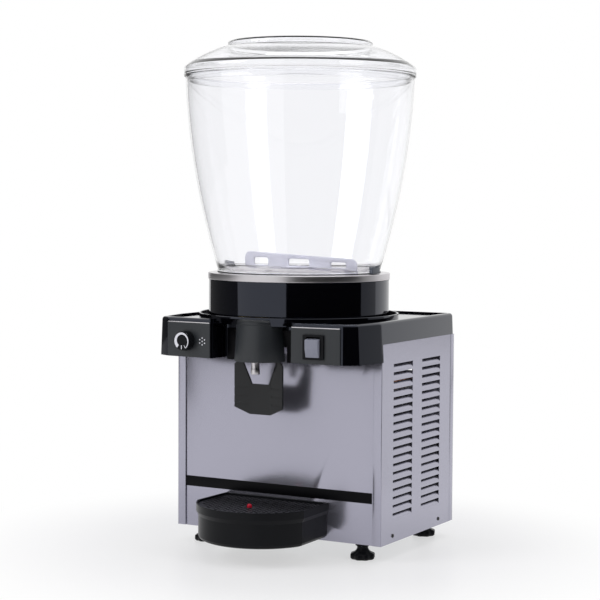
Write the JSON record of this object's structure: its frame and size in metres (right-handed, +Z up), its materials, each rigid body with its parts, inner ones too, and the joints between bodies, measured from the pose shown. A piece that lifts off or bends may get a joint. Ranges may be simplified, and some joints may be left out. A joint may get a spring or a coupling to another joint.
{
  "type": "cold drink dispenser",
  "caption": "Countertop cold drink dispenser: clear lidded bowl with stirring paddle on a chilled steel plate, louvred steel cabinet, push-lever tap and drip tray.",
  "frame": {"origin": "on the ground, at the middle of the area that the whole object covers", "axes": "+Z up, the front with the tap faces -Y, +X to the right as seen from the front"},
  "size_m": [0.3488, 0.39, 0.7483],
  "materials": {
    "brushed_panels": "brushed stainless sheet",
    "galvanised_sheet": "plain zinc-coated sheet",
    "steel_fittings": "bright turned and pressed stainless steel",
    "gloss_black": "high gloss black moulding",
    "satin_dark": "satin dark grey moulding",
    "black_plastic": "fine-textured black moulding",
    "black_steel": "black paint on steel",
    "white_plastic": "translucent white moulding",
    "clear_plastic": "clear moulded plastic, bare and smooth",
    "pale_plastic": "pale lilac grey moulding",
    "grey_plastic": "mid grey moulding",
    "red_plastic": "red moulding",
    "seal_rubber": "black silicone rubber",
    "copper": "bare copper tube",
    "foam": "rigid foam"
  },
  "bodies": {
    "cabinet": {"base_pan": "galvanised_sheet", "front_post_left": "brushed_panels", "side_panel_left": "brushed_panels", "front_post_right": "brushed_panels", "side_panel_right": "brushed_panels", "top_deck": "galvanised_sheet", "front_panel": "brushed_panels", "front_band": "gloss_black", "rear_panel": "brushed_panels", "cable_gland": "black_plastic", "side_screw_left_front": "black_steel", "side_screw_left_rear": "black_steel", "side_screw_right_front": "black_steel", "side_screw_right_rear": "black_steel", "top_cover": "gloss_black", "control_plate_left": "satin_dark", "control_plate_right": "satin_dark", "thermostat": "black_plastic", "switch_housing": "black_plastic", "tap_housing": "gloss_black", "tap_cover": "satin_dark", "tap_body": "steel_fittings", "outlet_pipe": "steel_fittings", "lever_pin": "steel_fittings", "drum": "gloss_black", "insulation": "foam", "steel_plate": "steel_fittings", "evaporator_coil": "copper", "bowl_gasket": "seal_rubber", "bowl_catch_left": "grey_plastic", "bowl_catch_right": "grey_plastic", "centre_pin": "steel_fittings", "stirrer_motor": "steel_fittings", "motor_bracket": "galvanised_sheet", "compressor": "black_steel", "condenser": "galvanised_sheet", "fan_shroud": "galvanised_sheet", "fan_motor": "black_plastic", "filter_drier": "copper", "discharge_tube": "copper", "suction_tube": "copper"},
    "bowl": {"bowl": "clear_plastic"},
    "lid": {"lid": "clear_plastic"},
    "paddle": {"paddle": "pale_plastic", "paddle_magnet": "steel_fittings"},
    "drive": {"drive_magnet": "steel_fittings"},
    "fan": {"fan_blade": "black_steel"},
    "knob": {"thermostat_knob": "black_plastic"},
    "rocker": {"switch_rocker": "white_plastic"},
    "lever": {"tap_lever": "black_plastic"},
    "plunger": {"tap_plunger": "white_plastic", "plunger_seal": "seal_rubber", "tap_spring": "steel_fittings"},
    "tray": {"drip_tray": "black_plastic"},
    "grille": {"drip_grille": "black_plastic"},
    "float": {"tray_float": "red_plastic"},
    "foot_fl": {"foot_front_left": "black_plastic"},
    "foot_fr": {"foot_front_right": "black_plastic"},
    "foot_rl": {"foot_rear_left": "black_plastic"},
    "foot_rr": {"foot_rear_right": "black_plastic"}
  },
  "joints": [
    {"name": "lid_lift", "type": "slide", "parent": "bowl", "child": "lid", "axis": [0, 0, 1], "range_m": [0, 0.08]},
    {"name": "bowl_lift", "type": "slide", "parent": "cabinet", "child": "bowl", "axis": [0, 0, 1], "range_m": [0, 0.06]},
    {"name": "drive_spin", "type": "hinge", "parent": "cabinet", "child": "drive", "pos_m": [0, 0.0067, 0.395], "axis": [0, 0, 1], "continuous": true},
    {"name": "paddle_spin", "type": "hinge", "parent": "cabinet", "child": "paddle", "pos_m": [0, 0.0067, 0.42], "axis": [0, 0, 1], "continuous": true},
    {"name": "fan_spin", "type": "hinge", "parent": "cabinet", "child": "fan", "pos_m": [0.1017, 0.06585, 0.138], "axis": [1, 0, 0], "continuous": true},
    {"name": "knob_turn", "type": "hinge", "parent": "cabinet", "child": "knob", "pos_m": [-0.10851, -0.13829, 0.311], "axis": [0.064, 0.998, 0], "range_deg": [0, 270]},
    {"name": "rocker_press", "type": "hinge", "parent": "cabinet", "child": "rocker", "pos_m": [0.10238, -0.12866, 0.311], "axis": [0.998, 0.064, 0], "range_deg": [-16, 0]},
    {"name": "lever_swing", "type": "hinge", "parent": "cabinet", "child": "lever", "pos_m": [0, -0.108, 0.321], "axis": [1, 0, 0], "range_deg": [0, 10], "stiffness_Nm_per_rad": 0.3, "springref_deg": -5.73},
    {"name": "plunger_push", "type": "slide", "parent": "cabinet", "child": "plunger", "axis": [0, 0, -1], "range_m": [0, 0.002], "deforming": ["tap_spring"]},
    {"name": "tray_lift", "type": "slide", "parent": "cabinet", "child": "tray", "axis": [0, 0, 1], "range_m": [0, 0.009]},
    {"name": "grille_lift", "type": "slide", "parent": "tray", "child": "grille", "axis": [0, 0, 1], "range_m": [0, 0.04]},
    {"name": "float_rise", "type": "slide", "parent": "tray", "child": "float", "axis": [0, 0, 1], "range_m": [0, 0.014]},
    {"name": "foot_height_front_left", "type": "slide", "parent": "cabinet", "child": "foot_fl", "axis": [0, 0, -1], "range_m": [0, 0.008]},
    {"name": "foot_height_front_right", "type": "slide", "parent": "cabinet", "child": "foot_fr", "axis": [0, 0, -1], "range_m": [0, 0.008]},
    {"name": "foot_height_rear_left", "type": "slide", "parent": "cabinet", "child": "foot_rl", "axis": [0, 0, -1], "range_m": [0, 0.008]},
    {"name": "foot_height_rear_right", "type": "slide", "parent": "cabinet", "child": "foot_rr", "axis": [0, 0, -1], "range_m": [0, 0.008]}
  ],
  "couplings": [
    {"joint": "paddle_spin", "follows": "drive_spin", "ratio": 1},
    {"joint": "plunger_push", "follows": "lever_swing", "m_per_rad": 0.0109}
  ]
}
